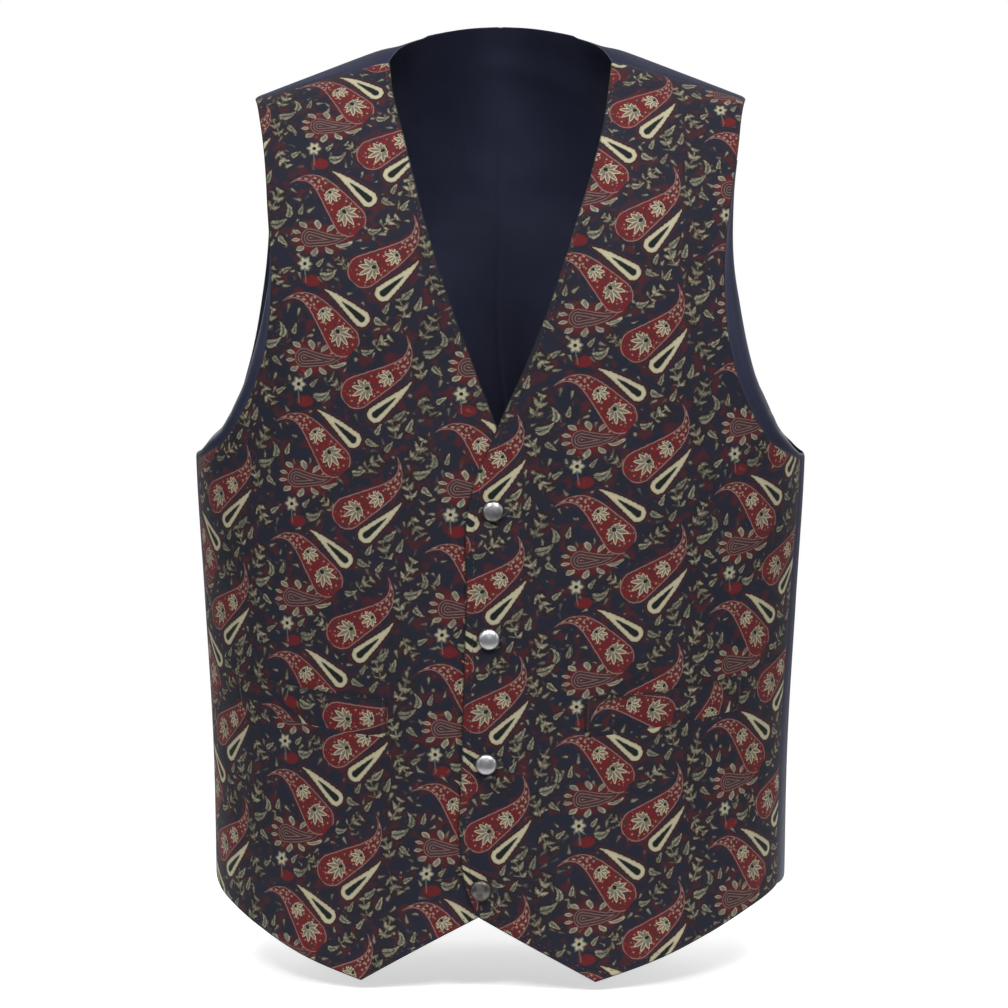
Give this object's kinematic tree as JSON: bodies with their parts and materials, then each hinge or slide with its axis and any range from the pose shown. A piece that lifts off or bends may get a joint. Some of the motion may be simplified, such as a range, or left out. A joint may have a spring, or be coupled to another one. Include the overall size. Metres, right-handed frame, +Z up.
{
  "type": "waistcoat",
  "caption": "Tailored V-neck waistcoat with paisley fronts, plain satin back, slanting welt pockets, domed metal buttons and a pointed hem, in its hollow worn form.",
  "frame": {"origin": "midway between the two mid-shoulder points, on the line where the wearer's shoulders carry the cloth", "axes": "+Z up, fronts face -Y, +X to the wearer's left"},
  "size_m": [0.4127, 0.2479, 0.6285],
  "materials": {
    "paisley": "matte woven cloth, dark navy with a red and cream paisley print",
    "navy_satin": "soft satin sheen",
    "brushed_silver": "worn satin metal"
  },
  "bodies": {
    "root": {"front_left": "paisley", "front_right": "paisley", "back": "navy_satin", "welt_left": "paisley", "welt_right": "paisley", "button_1": "brushed_silver", "button_2": "brushed_silver", "button_3": "brushed_silver", "button_4": "brushed_silver"}
  },
  "joints": []
}
